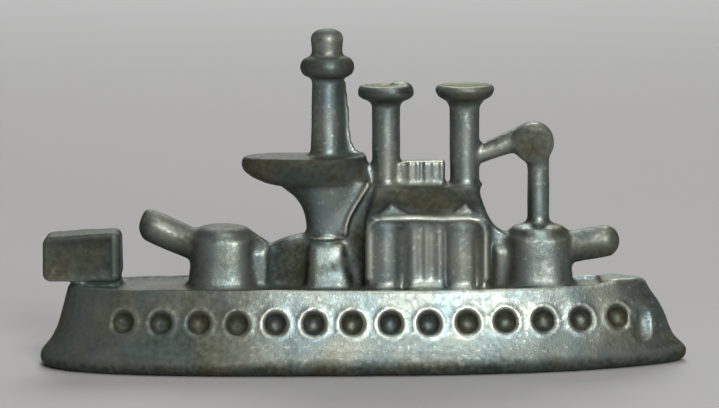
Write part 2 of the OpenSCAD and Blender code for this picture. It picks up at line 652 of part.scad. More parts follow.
// The aft cap carries a low round swell on its fore side
swell_share = 0.52;
module aft_funnel_cap() color("dimgray") translate([aft_funnel_x, 0, upper_z + funnel_h]) {
    cap(aft_funnel_r, aft_cap_r);
    translate([aft_cap_r * swell_share, 0, cap_h - cap_dish]) turned(concat([[0, 0]],
        [for (k = [0 : arc_steps]) let (a = 90 * k / arc_steps) [swell_r * cos(a), swell_h * sin(a)]]));
}
module fore_funnel_cap() color("dimgray") translate([fore_funnel_x, 0, upper_z + funnel_h])
    cap(fore_funnel_r, fore_cap_r);

module crane_head() color("slategray") translate([post_x - head_x, 0, head_z]) rotate([90, 0, 0])
    translate([0, 0, -head_w / 2]) turned(concat([[0, 0]],
        reversed([for (p = shoulder(head_r, 0, 2 * edge_r)) [p[0], -p[1]]]),
        shoulder(head_r, head_w, 2 * edge_r), [[0, head_w]]));

module crane_post() color("gray") difference() {
    translate([post_x, 0, turret_top_z - turret_roof_h / 2])
        turned(concat([[0, 0], [post_r + foot_flare, 0]],
            [for (p = cove(post_r, foot_flare)) [p[0], p[1] + turret_roof_h / 2]],
            [[post_r, post_h + turret_roof_h / 2], [0, post_h + turret_roof_h / 2]]));
    fore_turret();
    crane_head();
}

// The jib runs from the funnel up to the head and meets it above its centre
jib_rise_share = 0.8;
jib_rise = (head_r - jib_r) * jib_rise_share;
jib_from = [fore_funnel_x, upper_z + jib_end_h];
jib_to = [post_x - head_x, head_z + jib_rise];
module crane_jib() color("gray") difference() {
    translate([jib_from[0], 0, jib_from[1]])
        rotate([0, 90 - atan2(jib_to[1] - jib_from[1], jib_to[0] - jib_from[0]), 0])
            cylinder(h = norm(jib_to - jib_from), r1 = jib_end_r, r2 = jib_r, $fn = middle_facets);
    fore_funnel();
    crane_head();
}

ship_hull();
main_deck();
flag_foot();
stern_flag();
aft_turret();
aft_gun();
low_wall();
tower_base();
tower_pedestal();
bridge_platform();
mast();
fighting_top();
lookout();
tower_wall();
deckhouse();
deckhouse_roof();
skylight();
aft_funnel();
aft_funnel_cap();
fore_funnel();
fore_funnel_cap();
fore_turret();
fore_gun();
crane_post();
crane_head();
crane_jib();
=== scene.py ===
import math

import bmesh
import bpy
import numpy as np
from mathutils import Matrix, Vector, noise
from mathutils.bvhtree import BVHTree
from mathutils.kdtree import KDTree


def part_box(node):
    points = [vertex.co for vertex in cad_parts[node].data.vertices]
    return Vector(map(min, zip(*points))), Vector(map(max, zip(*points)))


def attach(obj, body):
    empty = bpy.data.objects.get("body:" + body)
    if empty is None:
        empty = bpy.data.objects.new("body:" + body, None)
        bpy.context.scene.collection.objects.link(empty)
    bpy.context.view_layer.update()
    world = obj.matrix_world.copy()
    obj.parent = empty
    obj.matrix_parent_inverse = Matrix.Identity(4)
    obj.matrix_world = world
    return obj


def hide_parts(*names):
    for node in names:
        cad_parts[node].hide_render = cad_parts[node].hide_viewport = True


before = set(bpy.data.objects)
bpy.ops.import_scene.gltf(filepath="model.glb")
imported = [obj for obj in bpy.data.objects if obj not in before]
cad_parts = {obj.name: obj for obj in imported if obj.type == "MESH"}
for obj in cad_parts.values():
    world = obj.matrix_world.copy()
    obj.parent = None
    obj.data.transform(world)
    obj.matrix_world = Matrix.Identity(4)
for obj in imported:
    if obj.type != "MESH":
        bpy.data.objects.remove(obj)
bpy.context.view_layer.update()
perMetre = 1000.0  # the shapes are modelled in millimetres and brought to metres at the end
weldDist = 0.0005
zAxis = Vector((0, 0, 1))
print("frame loaded,", len(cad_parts), "nodes")


def lowOf(node):
    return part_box(node)[0] * perMetre


def highOf(node):
    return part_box(node)[1] * perMetre


def middleOf(node):
    return (lowOf(node) + highOf(node)) / 2


# Solids in millimetres, each one closed

def copyOf(node):
    bm = bmesh.new()
    bm.from_mesh(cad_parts[node].data)
    bmesh.ops.scale(bm, vec=(perMetre,) * 3, verts=bm.verts)
    bmesh.ops.remove_doubles(bm, verts=bm.verts, dist=weldDist)
    return bm


def moved(bm, way):
    bmesh.ops.translate(bm, vec=way, verts=bm.verts)
    return bm


def squeezed(node, x, y):  # a copy made wider or narrower about its middle
    bm = copyOf(node)
    bmesh.ops.scale(bm, vec=(x, y, 1), space=Matrix.Translation(-middleOf(node)), verts=bm.verts)
    return bm


def pointed(bm, start, way):  # a solid that stands on Z, turned along a direction
    turn = zAxis.rotation_difference(Vector(way)).to_matrix().to_4x4()
    bmesh.ops.transform(bm, matrix=Matrix.Translation(start) @ turn, verts=bm.verts)
    return bm


def turned(profile, centre, steps=64):  # a profile of radii and heights spun about Z
    bm = bmesh.new()
    line = [bm.verts.new((r, 0, z)) for r, z in profile]
    joined = [bm.edges.new(pair) for pair in zip(line, line[1:])]
    bmesh.ops.spin(bm, geom=line + joined, cent=(0, 0, 0), axis=zAxis, dvec=(0, 0, 0),
                   angle=2 * math.pi, steps=steps, use_merge=True)
    bmesh.ops.remove_doubles(bm, verts=bm.verts, dist=weldDist)
    bmesh.ops.recalc_face_normals(bm, faces=bm.faces)
    return moved(bm, centre)


def bar(start, end, startR, endR, segments=32):
    bm = bmesh.new()
    along = Vector(end) - Vector(start)
    bmesh.ops.create_cone(bm, cap_ends=True, segments=segments, radius1=startR, radius2=endR,
                          depth=along.length)
    return pointed(bm, (Vector(start) + Vector(end)) / 2, along)


def plate(outline, thickness):  # an outline in XZ, as thick on both sides of the centre plane
    bm = bmesh.new()
    face = bm.faces.new([bm.verts.new((x, -thickness / 2, z)) for x, z in outline])
    grown = bmesh.ops.extrude_face_region(bm, geom=[face])["geom"]
    farSide = [v for v in grown if isinstance(v, bmesh.types.BMVert)]
    bmesh.ops.translate(bm, vec=(0, thickness, 0), verts=farSide)
    bmesh.ops.recalc_face_normals(bm, faces=bm.faces)
    return bm


def block(low, high):
    bm = bmesh.new()
    bmesh.ops.create_cube(bm, size=1)
    low, high = Vector(low), Vector(high)
    bmesh.ops.scale(bm, vec=high - low, verts=bm.verts)
    return moved(bm, (low + high) / 2)


def wrapped(points):
    bm = bmesh.new()
    bmesh.ops.convex_hull(bm, input=[bm.verts.new(p) for p in points])
    return bm


def roundRing(height, aft, fore, wide, square, axisX, steps=64):  # an ellipse, squarer above 2
    ring = []
    for k in range(steps):
        turn = 2 * math.pi * k / steps
        c, s = (math.copysign(abs(f) ** (2 / square), f) for f in (math.cos(turn), math.sin(turn)))
        ring.append((axisX + c * (fore - axisX if c > 0 else axisX - aft), wide * s, height))
    return ring


def lofted(rings):
    bm = bmesh.new()
    rows = [[bm.verts.new(p) for p in ring] for ring in rings]
    for low, high in zip(rows, rows[1:]):
        for k, v in enumerate(low):
            bm.faces.new((low[k - 1], v, high[k], high[k - 1]))
    bm.faces.new(rows[0])
    bm.faces.new(rows[-1])
    bmesh.ops.recalc_face_normals(bm, faces=bm.faces)
    return bm


# Meshes, objects and modifiers

def meshOf(bm, name):
    mesh = bpy.data.meshes.new(name)
    bm.to_mesh(mesh)
    bm.free()
    return mesh


def linked(name, data):
    made = bpy.data.objects.new(name, data)
    bpy.context.scene.collection.objects.link(made)
    return made


def evaluated(obj):
    return bpy.data.meshes.new_from_object(
        obj.evaluated_get(bpy.context.evaluated_depsgraph_get()))


def fetched(items, key, width=1, kind=np.float32):
    values = np.empty(len(items) * width, kind)
    items.foreach_get(key, values)
    return values.reshape(-1, width) if width > 1 else values


# Stern flag: a thick slab with a raised rim round a sunk field, its top falling to the free end

flagLook = {"cornerR": 0.42, "cornerSteps": 6, "rim": 0.3, "slope": 0.08, "sink": 0.14,
            "topFall": 0.25}


def sternFlag():
    look = flagLook
    low, high = lowOf("stern_flag"), highOf("stern_flag")
    bm = block(low, high)
    corners = [e for e in bm.edges if abs((e.verts[0].co - e.verts[1].co).y) > 0.1]
    bmesh.ops.bevel(bm, geom=corners, offset=look["cornerR"], offset_type="OFFSET",
                    segments=look["cornerSteps"], profile=0.5, affect="EDGES", material=-1)
    for side in (-1, 1):
        face = [f for f in bm.faces if f.normal.y * side > 0.9]
        bmesh.ops.inset_region(bm, faces=face, thickness=look["rim"], depth=0)
        bmesh.ops.inset_region(bm, faces=face, thickness=look["slope"], depth=-look["sink"])
    for v in bm.verts:
        run = (v.co.x - low.x) / (high.x - low.x)
        rise = (v.co.z - low.z) / (high.z - low.z)
        v.co.z -= look["topFall"] * (1 - run) * rise
    return bm


# Mast: a thin fin on its fore side, with a beaded edge

mastLook = {"rib": [(-0.97, 14.8), (-0.79, 13.29), (-0.69, 11.72), (-0.43, 11.12), (0.03, 10.97)],
            "inMast": [(-1.83, 10.9), (-1.83, 14.8)], "finT": 0.16, "beadR": 0.09}


def mastFin():
    look = mastLook
    rib, r = look["rib"], look["beadR"]
    beads = [bar((a[0], 0, a[1]), (b[0], 0, b[1]), r, r) for a, b in zip(rib, rib[1:])]
    return [plate(rib + look["inMast"], look["finT"])] + beads


# Tower: a squarish flared foot, a ring, and a horn whose flat web runs up to the funnel's foot

hornLook = {"axisX": -1.95, "square": 5, "webT": 2.1,
            "ring": [(0, 6.46), (1.04, 6.5), (1.16, 6.66), (1.06, 6.84), (0, 6.9)],
            "rings": [(6.7, -2.97, -0.93, 1.02), (7.3, -2.98, -0.86, 1.04),  # height, aft, fore, wide
                      (7.7, -3.03, -0.72, 1.08), (8.1, -3.15, -0.5, 1.15), (8.4, -3.3, -0.3, 1.22),
                      (8.8, -3.6, -0.02, 1.3), (9.19, -4.1, 0.22, 1.36), (9.5, -4.5, 0.42, 1.36),
                      (9.8, -3.0, 0.56, 1.2), (10.1, -2.0, 0.66, 0.9)],
            "web": [(-1.95, 6.9), (-0.9, 6.9), (-0.84, 7.4), (-0.66, 7.9), (-0.34, 8.45),
                    (0.06, 9.1), (0.38, 9.62), (-1.95, 9.62)],
            "link": ((-0.1, -0.4, 9.3), (0.6, 0.4, 10.45)),
            "foot": [(4.12, -3.1, -0.4, 1.85), (4.45, -3.0, -0.52, 1.66), (4.9, -2.96, -0.66, 1.5),
                     (5.5, -2.95, -0.78, 1.36), (6.4, -2.9, -0.86, 1.14)]}


def towerHorn():
    look = hornLook
    axisX, square = look["axisX"], look["square"]
    return [lofted([roundRing(*ring, 2, axisX) for ring in look["rings"]]),
            plate(look["web"], look["webT"]),
            lofted([roundRing(*ring, square, axisX) for ring in look["foot"]]),
            turned(look["ring"], (axisX, 0, 0)), block(*look["link"])]


# Turrets: squarish walls that widen to the deck; and the guns' thick barrels

turretLook = {"inset": 1.82, "square": 2.8,
              "rings": [(4.12, 1.86, 1.98), (4.6, 1.78, 1.84), (5.2, 1.72, 1.74),  # height, X, Y
                        (6.7, 1.62, 1.62)],
              "gunR": 0.84, "muzzleLen": 0.42, "muzzle": 0.58}
gunLook = {"aft": {"side": -1, "trunnion": 1.52, "angle": 23.2, "length": 4.62},
           "fore": {"side": 1, "trunnion": 1.64, "angle": 9.5, "length": 4.2}}


def turretX(end):
    node, side = end + "_turret", gunLook[end]["side"]
    return (lowOf(node) if side < 0 else highOf(node)).x - side * turretLook["inset"]


def gunLine(end, trunnion, angle):  # the gun's start on its turret's axis, and its direction
    turn = math.radians(angle)
    way = Vector((gunLook[end]["side"] * math.cos(turn), 0, math.sin(turn)))
    return Vector((turretX(end), 0, lowOf(end + "_turret").z + trunnion)), way


def turretAndGun(end):
    look, gun = turretLook, gunLook[end]
    axisX, r = turretX(end), look["gunR"]
    start, way = gunLine(end, gun["trunnion"], gun["angle"])
    muzzle, tip = start + (gun["length"] - look["muzzleLen"]) * way, start + gun["length"] * way
    rings = [roundRing(height, axisX - x, axisX + x, y, look["square"], axisX)
             for height, x, y in look["rings"]]
    return [lofted(rings), bar(start, muzzle, r, r), bar(muzzle, tip, r, r * look["muzzle"])]


# Deckhouse: wide flat ribs, shallow grooves between the middle ones, and flared feet

houseLook = {"wide": [(0.6, 1.72), (4.4, 5.68)], "ribY": 2.37, "ribZ": 4.3, "topZ": 7.7,
             "shallow": (2.27, 4.22), "shallowY": 2.27, "shallowZ": 4.2,
             "feet": [(0.6, 1.72), (2.27, 2.9), (2.98, 3.48), (3.6, 4.2), (4.4, 5.68)],
             "footShape": [(2.31, 4.75), (2.62, 4.12), (2.0, 4.12), (2.0, 4.75)]}  # Y, Z


def houseFront():
    look = houseLook
    ribs = [(*ends, look["ribY"], look["ribZ"]) for ends in look["wide"]]
    ribs.append((*look["shallow"], look["shallowY"], look["shallowZ"]))
    made = [block((aft, -y, z), (fore, y, look["topZ"])) for aft, fore, y, z in ribs]
    for side in (-1, 1):
        made += [wrapped([(x, side * y, z) for x in ends for y, z in look["footShape"]])
                 for ends in look["feet"]]
    return made


# Funnels: thick caps with rounded rims, and a slimmer fore funnel on a spread foot

funnelLook = {"foreShare": 0.93, "foreShift": -0.1,
              "cap": [(0, 13.6), (0.9, 13.74), (1.25, 13.88), (1.44, 14.02), (1.49, 14.16),
                      (1.44, 14.34), (1.25, 14.5), (0, 14.54)],  # radius, height
              "foot": [(5.6, 0.8, 9.3), (6.12, 0.45, 9.34), (6.1, 0.4, 8.6), (5.6, 0.9, 8.4)]}


def foreFunnel():
    shift, share = (funnelLook["foreShift"], 0, 0), funnelLook["foreShare"]
    return [moved(squeezed("fore_funnel", share, share), shift),
            moved(copyOf("fore_funnel_cap"), shift)]


def funnelCaps():
    aftX, foreX = middleOf("aft_funnel").x, middleOf("fore_funnel").x + funnelLook["foreShift"]
    return [turned(funnelLook["cap"], (x, 0, 0)) for x in (aftX, foreX)]


def funnelFoot():
    return wrapped([(x, side * y, z) for side in (-1, 1) for x, y, z in funnelLook["foot"]])


# Roof hips: a low pyramid over each corner of the fluted walls

hipLook = {"corners": [(0.4, 2.8, 1.45), (4.2, 6.2, 5.3)], "outY": 2.4, "foot": 7.82,
           "apexY": 1.95, "apexZ": 8.66, "backY": 1.2}  # corners: from x, to x, apex x


def roofHips():
    look = hipLook
    return [wrapped([(x, side * y, look["foot"])
                     for x in (fromX, toX) for y in (look["outY"], look["backY"])]
                    + [(apexX, side * y, look["apexZ"]) for y in (look["apexY"], look["backY"])])
            for side in (-1, 1) for fromX, toX, apexX in look["corners"]]


# What joins the fittings: a thicker centre wall and jib, and the skylight's end at the aft funnel

joinLook = {"wallShare": 1.6, "skylightEnd": ((1.95, -0.55, 9.3), (2.3, 0.55, 10.6)),  # corners
            "jib": ((6.0, 0, 10.92), (8.5, 0, 11.9), 0.5, 0.62)}  # start, end, radii
asPacked = ["ship_hull", "main_deck", "flag_foot", "aft_turret", "aft_gun", "low_wall", "tower_base",
            "bridge_platform", "mast", "fighting_top", "lookout", "deckhouse", "deckhouse_roof",
            "skylight", "aft_funnel", "aft_funnel_cap", "fore_turret", "fore_gun", "crane_post",
            "crane_head", "crane_jib"]
solids = [copyOf(node) for node in asPacked] + [sternFlag()] + mastFin() + towerHorn() + houseFront()
solids += turretAndGun("aft") + turretAndGun("fore") + roofHips()
solids += [squeezed("tower_wall", 1, joinLook["wallShare"])] + foreFunnel() + funnelCaps()
solids += [block(*joinLook["skylightEnd"]), bar(*joinLook["jib"]), funnelFoot()]
print("made", len(solids), "solids")


# The whole casting: every solid melted into one skin, with a soft hollow where they meet

castLook = {"voxel": 0.09, "evenSteps": 4, "filletSteps": 27, "bendSteps": 3, "bendFull": 0.004,
            "leastEase": 0.05, "softSteps": 11, "boxSteps": 18,
            "lumpLen": 1.9, "lump": 0.035, "dentLen": 0.75, "dent": 0.009, "pitLen": 0.33, "pit": 0.002,
            "speckLen": 0.17, "speckFrom": 0.4, "speckWide": 0.12, "speck": 0.007}


def melted(parts):
    whole = bmesh.new()
    for part in parts:
        mesh = meshOf(part, "part")
        whole.from_mesh(mesh)
        bpy.data.meshes.remove(mesh)
    obj = linked("parts", meshOf(whole, "parts"))
    remesh = obj.modifiers.new("melt", "REMESH")
    remesh.mode = "VOXEL"
    remesh.voxel_size = castLook["voxel"]
    remesh.use_smooth_shade = True
    mesh = evaluated(obj)
    bpy.data.objects.remove(obj)
    return mesh


class Skin:
    def __init__(self, mesh):
        self.mesh = mesh
        self.count = len(mesh.vertices)
        self.co = fetched(mesh.vertices, "co", 3).astype(float)
        self.a, self.b = fetched(mesh.edges, "vertices", 2, np.int32).T
        self.degree = np.bincount(np.concatenate([self.a, self.b]), minlength=self.count)[:, None]
        self.relief, self.bowls, self.paintedHighlights = np.zeros((3, self.count))

    def mean(self, values):  # each point's mean over its neighbours
        total = np.empty_like(values)
        for k in range(values.shape[1]):
            total[:, k] = (np.bincount(self.a, values[self.b, k], self.count)
                           + np.bincount(self.b, values[self.a, k], self.count))
        return total / self.degree

    def ease(self, share=1.0):
        self.co += 0.5 * share * (self.mean(self.co) - self.co)

    def normals(self):
        self.mesh.vertices.foreach_set("co", self.co.astype(np.float32).ravel())
        self.mesh.update()
        return fetched(self.mesh.vertex_normals, "vector", 3).astype(float)

    def folded(self):  # both sides laid on the side that the camera sees
        return self.co * (1, 0, 1) - (0, 1, 0) * np.abs(self.co)

    def lumps(self, length):
        return np.array([noise.noise(Vector(p) / length) for p in self.co])


def ramp(values, start, length, most=1):
    return np.clip((values - start) / length, 0, most)


def bell(values, width):
    return np.exp(-(values / width) ** 2)


def inBoxes(table):  # boxes: low corner, high corner, strength
    found = np.zeros((skin.count, 1))
    at = skin.folded()
    for boxes in table.values():
        for low, high, strength in boxes:
            inside = ((at > low) & (at < high)).all(1)
            found[inside] = np.maximum(found[inside], strength)
    for step in range(castLook["boxSteps"]):
        found = skin.mean(found)
    return found[:, 0]


def fillet():  # hollows are filled faster than edges are worn
    look = castLook
    inward = skin.mean(skin.co) - skin.co
    bend = (inward * skin.normals()).sum(1, keepdims=True)
    for step in range(look["bendSteps"]):
        bend = skin.mean(bend)
    skin.ease(np.clip(bend / look["bendFull"], look["leastEase"], 1))


# Boxes worn soft all over, alike on both sides
softened = {"deckhouse": [((0, -2.8, 4.3), (6.6, -1.3, 9.2), 1)],
            "bow": [((13.5, -3, 3.6), (15.5, 0, 4.6), 1)],
            "crane head": [((7.6, -2, 10.2), (10.2, 0, 12.8), 1)],
            "turret roofs": [((-9.5, -2.3, 6.3), (-5.2, 0, 7.5), 1), ((7.6, -2.3, 6.6), (11.1, 0, 7.7), 1)],
            "muzzles": [((-12.2, -1.2, 6.4), (-10.7, 0, 8.7), 1), ((12.5, -1.2, 5), (14, 0, 7.6), 1)],
            "web": [((-1.7, -1.6, 7.0), (-0.8, -0.4, 9.4), 1), ((-1.7, -1.6, 8.6), (-0.3, -0.4, 9.4), 1)],
            "funnel foot": [((5.7, -1, 9.0), (6.6, 0, 9.8), 1)],
            "tower foot": [((-3.2, -2, 4.3), (-0.3, 0, 6.4), 1)]}

skin = Skin(melted(solids))
print("melted,", skin.count, "vertices")
for step in range(castLook["evenSteps"]):
    skin.ease()
for step in range(castLook["filletSteps"]):
    fillet()
soft = inBoxes(softened)[:, None]
for step in range(castLook["softSteps"]):
    skin.ease(soft)


# Bow: a full forefoot, and a corner that falls at the rail

bowLook = {"fromX": 11, "length": 4, "fill": 0.3, "lowZ": 0.7, "tall": 3.6,
           "tipX": 14, "tipLen": 0.7, "tipMost": 1.2, "fall": 0.1, "fallZ": 3.3, "fallTall": 1}


def shapeBow():
    look = bowLook
    x, z = skin.co[:, 0], skin.co[:, 2]
    fore = ramp(x, look["fromX"], look["length"]) ** 2
    x += look["fill"] * fore * np.sin(math.pi * ramp(z, look["lowZ"], look["tall"])) ** 2
    tip = ramp(x, look["tipX"], look["tipLen"], look["tipMost"]) ** 2
    z -= look["fall"] * tip * ramp(z, look["fallZ"], look["fallTall"])


shapeBow()
# Tiny raised specks that also carry painted glints
glintSpecks = ramp(skin.lumps(castLook["speckLen"]), castLook["speckFrom"], castLook["speckWide"])
for key in ("lump", "dent", "pit"):
    skin.relief += castLook[key] * skin.lumps(castLook[key + "Len"])
skin.relief += castLook["speck"] * glintSpecks
outward = skin.normals()
print("softened")


# Portholes: drawn in round a bowl painted dark as shade with a painted glint at its middle, and a thin lip
# that carries a painted highlight on its upper fore side, all round amidships

portLook = {"xs": [-12.42, -10.46, -8.47, -6.49, -4.53, -2.57, -0.6, 1.39, 3.36, 5.34, 7.32, 9.31, 11.28,
                   13.22], "z": 2.45, "findR": 0.15, "leastR": 0.1,
            "lipR": 0.74, "lipW": 0.12, "lipH": 0.035, "bowlR": 0.45, "sink": 0.06,
            "pull": 0.12, "pullR": 0.72, "pullW": 0.24, "darkR": 0.58, "darkEdge": 0.06,
            "glint": 0.7, "glintR": 0.17, "litTurn": 0.4, "bright": 0.35, "wholeBright": 0.5,
            "wholeX": 1.5, "wholeLen": 4, "belowZ": 4}


def porthole(x, flank):
    look = portLook
    offset = skin.co - (x, 0, look["z"])
    centre = flank & (np.hypot(offset[:, 0], offset[:, 2]) < look["findR"])
    out = outward[centre].mean(0)
    out /= np.linalg.norm(out)
    offset = skin.co - skin.co[centre].mean(0)
    offset -= np.outer(offset @ out, out)
    r = np.linalg.norm(offset, axis=1)
    pull = flank * look["pull"] * bell(r - look["pullR"], look["pullW"])
    skin.co -= offset * (pull / np.maximum(r, look["leastR"]))[:, None]
    r -= pull
    lip = flank * bell(r - look["lipR"], look["lipW"])
    bowl = flank * ramp(look["lipR"] - r, 0, look["lipR"] - look["bowlR"])
    skin.relief += look["lipH"] * lip - look["sink"] * bowl
    # Painted shade inside each bowl, lifted at its middle by a painted glint
    dark = flank * ramp(look["darkR"] + look["darkEdge"] - r, 0, 2 * look["darkEdge"])
    skin.bowls = np.maximum(skin.bowls, dark * (1 - look["glint"] * bell(r, look["glintR"])))
    # Painted highlight on the lip's upper fore side, and all round amidships
    lit = ramp((offset[:, 0] + offset[:, 2]) / np.maximum(r, look["leastR"]), -look["litTurn"], 1)
    whole = bell(x - look["wholeX"], look["wholeLen"])
    bright = np.maximum(lit, whole) * (look["bright"] + look["wholeBright"] * whole)
    skin.paintedHighlights = np.maximum(skin.paintedHighlights, lip * bright)


# Hawse: an upright lip at the bow

hawseLook = {"x": 14.13, "z": 2.55, "wideX": 0.13, "wideZ": 0.3, "h": 0.13}


def hawse(flank):
    look = hawseLook
    lip = bell(skin.co[:, 0] - look["x"], look["wideX"]) * bell(skin.co[:, 2] - look["z"], look["wideZ"])
    skin.relief += flank * look["h"] * lip


# Drawn edges: points in XZ, reach in Y, width, height and painted highlight, alike on both sides

wallY, towerY, mastY, flagY = (-2.8, -1.9), (-1.6, -0.6), (-0.4, 0), (-3, -0.3)
drawnEdges = {
    "eave": ([(1.0, 7.86), (2.6, 7.91), (4.1, 7.83), (5.5, 7.87)], wallY, 0.17, 0.11, 0.9),
    "aft corner": ([(0.27, 4.8), (0.27, 7.2), (0.36, 7.55), (0.62, 7.78), (1.0, 7.86)],
                   wallY, 0.16, 0.09, 0.45),
    "fore corner": ([(5.5, 7.87), (5.95, 7.74), (6.22, 7.45), (6.34, 7.1), (6.34, 4.8)],
                    wallY, 0.16, 0.09, 0.45),
    "aft rib": ([(1.14, 4.9), (1.14, 7.3)], wallY, 0.48, 0.13, 0.3),
    "second rib": ([(2.66, 4.9), (2.66, 7.5)], wallY, 0.3, 0.05, 0.25),
    "third rib": ([(3.22, 4.9), (3.22, 7.5)], wallY, 0.2, 0.04, 0.25),
    "fourth rib": ([(3.9, 4.9), (3.9, 7.5)], wallY, 0.22, 0.04, 0.1),
    "fore rib": ([(5.02, 4.9), (5.02, 7.3)], wallY, 0.52, 0.13, 0.25),
    "web": ([(-0.92, 6.9), (-0.88, 7.4), (-0.7, 7.9), (-0.38, 8.45), (0.02, 9.1), (0.42, 9.75)],
            towerY, 0.13, 0.14, 1.0),
    "mast fin": ([(-0.93, 14.7), (-0.79, 13.29), (-0.69, 11.72), (-0.43, 11.17), (0.03, 11.0)],
                 mastY, 0.1, 0.04, 0.9),
    "tower ring": ([(-2.85, 6.7), (-1.0, 6.7)], towerY, 0.08, 0.05, 0.8),
    "flag hoist": ([(-12.98, 4.8), (-12.98, 6.75)], flagY, 0.13, 0.03, 0.6),
    "flag top": ([(-16.4, 6.6), (-13.1, 6.84)], flagY, 0.14, 0.02, 0.25)}


def nearEdge(points, reach, width):
    at = skin.folded()
    away = np.full(skin.count, np.inf)
    for a, b in zip(points, points[1:]):
        a, b = np.array(a), np.array(b)
        along = at[:, [0, 2]] - a
        share = np.clip(along @ (b - a) / ((b - a) @ (b - a)), 0, 1)
        away = np.minimum(away, np.linalg.norm(along - np.outer(share, b - a), axis=1))
    return bell(away, width) * (at[:, 1] > reach[0]) * (at[:, 1] < reach[1])


def drawEdges():
    height = np.zeros(skin.count)
    for points, reach, width, rise, bright in drawnEdges.values():
        near = nearEdge(points, reach, width)
        height = np.maximum(height, rise * near)
        # Painted highlight along each drawn edge
        skin.paintedHighlights = np.maximum(skin.paintedHighlights, bright * near)
    skin.relief += height


for side in (-1, 1):
    flank = (skin.co[:, 1] * side > 0) & (skin.co[:, 2] < portLook["belowZ"])
    for x in portLook["xs"]:
        porthole(x, flank)
    hawse(flank)
drawEdges()
skin.co += outward * skin.relief[:, None]
skin.co[:, 2] = np.maximum(skin.co[:, 2], 0)
print("portholes and edges drawn")


# What the finish follows: painted shade and grime in the shelter and where surfaces turn aside, painted
# highlights and wear on edges and lit spots, each from 0 to 1

finishMap = {"creaseSteps": 14, "creaseFull": 0.05,
             "cell": 0.3, "margin": 4, "past": 0.001, "reach": 1.1, "occlusionFrom": 0.55, "occlusionWide": 0.25,
             "fromAbove": 0.85, "turnedShadeFrom": 0.85, "turnedShadeWide": 0.45,
             "turnedShade": 0.7, "occlusion": 0.9, "hollow": 0.75, "patch": 0.12, "patchLen": 1.1,
             "ends": [(-3.4, -8.0, 0.72), (7.5, 12.0, 0.2)], "endTop": 4.4,  # from x, to x, strength
             "highlightLift": 0.8, "highlightBright": 0.85, "dullShadeAndStain": 0.85, "speckGlint": 0.8}

# Boxes (low corner, high corner, strength) of painted shade and grime, alike on both sides
shadeAndStains = {
    "stern flag": [((-17, -2, 4.5), (-12.5, 0, 7.3), 0.85)],
    "bridge platform": [((-6.6, -2, 9.3), (0.2, 0, 10.8), 0.85), ((-6.6, -2, 10.5), (0.3, 0, 11.0), 0.9)],
    "fighting top": [((-3.5, -2, 15.0), (0, 0, 16.1), 0.75)],
    "lookout": [((-3, -2, 17.1), (0, 0, 17.7), 0.7)],
    "mast fin": [((-1.2, -0.3, 11.3), (-0.85, 0, 14.6), 0.8)],
    "funnel caps": [((-0.5, -2, 13.6), (3, 0, 14.45), 0.75), ((3.5, -2, 13.6), (7.2, 0, 14.45), 0.75)],
    "roof": [((2.8, -3, 7.98), (4.2, 0, 9.5), 0.97), ((0.2, -1.9, 7.9), (6.6, 0, 9.5), 0.97)],
    "under the eave": [((0.5, -2.5, 7.25), (2.25, -1.9, 7.6), 0.95),
                       ((4.25, -2.5, 7.25), (5.4, -1.9, 7.6), 0.95),
                       ((0, -2.6, 7.6), (0.34, -1.5, 8.2), 0.95),
                       ((6.25, -2.6, 7.6), (6.6, -1.5, 8.2), 0.95)],
    "grooves": [((1.72, -2.4, 4.2), (2.24, -1.9, 7.5), 0.95), ((4.24, -2.4, 4.2), (4.42, -1.9, 7.5), 0.8),
                ((5.68, -2.4, 4.2), (6.1, -1.9, 7.5), 0.9)],
    "centre walls": [((-4.85, -0.8, 4.2), (-3.1, 0, 6.6), 0.95), ((-0.8, -1.1, 4.2), (0.3, 0, 9.2), 1.0),
                     ((6.45, -0.7, 4.2), (6.8, 0, 7.6), 0.9)],
    "tower, aft side": [((-3.7, -2, 4.2), (-2.6, 0, 6.5), 0.9), ((-5.0, -2, 6.85), (-2.5, 0, 9.4), 0.85)],
    "aft turret": [((-9.6, -2, 4.5), (-8.1, 0, 6.9), 0.8), ((-6.1, -1.3, 4.2), (-5.62, 0, 6.6), 0.9),
                   ((-9, -1.6, 6.9), (-5.6, 0, 7.5), 0.7), ((-9, -2.2, 4.3), (-5.5, 0, 6.6), 0.3)],
    "fore turret": [((7.4, -2, 4.3), (8.2, 0, 7.0), 0.8), ((7.9, -2.2, 4.3), (10.9, 0, 6.8), 0.3)],
    "aft gun": [((-12.2, -1, 5.6), (-8.8, 0, 6.9), 0.6), ((-12.2, -1, 5.6), (-11.1, 0, 8.5), 0.8),
                ((-12.2, -1.2, 5.6), (-8.8, 0, 8.4), 0.35)],
    "fore gun": [((13.0, -1, 5), (14, 0, 7.5), 0.7), ((10.6, -1, 4.5), (14, 0, 6.4), 0.75),
                 ((10.8, -1.2, 5), (14, 0, 7.6), 0.4)],
    "crane head": [((7.7, -2, 10.6), (10, -0.6, 12.6), 0.9)],
    "hull foot": [((-17, -5, 0), (17, 0, 0.8), 0.95)]}

# Boxes of painted shadow, in creases, under overhangs, on the low wall and along the hull's foot, that no
# painted light lifts
paintedShadows = {
    "tower foot": [((-2.5, -2.2, 4.9), (-1.7, 0, 5.25), 0.8), ((-1.8, -2.2, 5.05), (-1.1, 0, 5.45), 1.0),
                   ((-1.2, -2.2, 5.25), (-0.4, 0, 5.65), 1.0), ((-2.9, -2, 6.3), (-1.0, 0, 6.6), 1.0)],
    "aft turret": [((-9.3, -2.2, 6.66), (-5.5, 0, 6.95), 0.9)],
    "hull foot": [((-17, -5, 0), (17, 0, 0.62), 1.0)],
    "low wall": [((-4.9, -0.8, 4.2), (-3.05, 0, 6.5), 0.9)]}
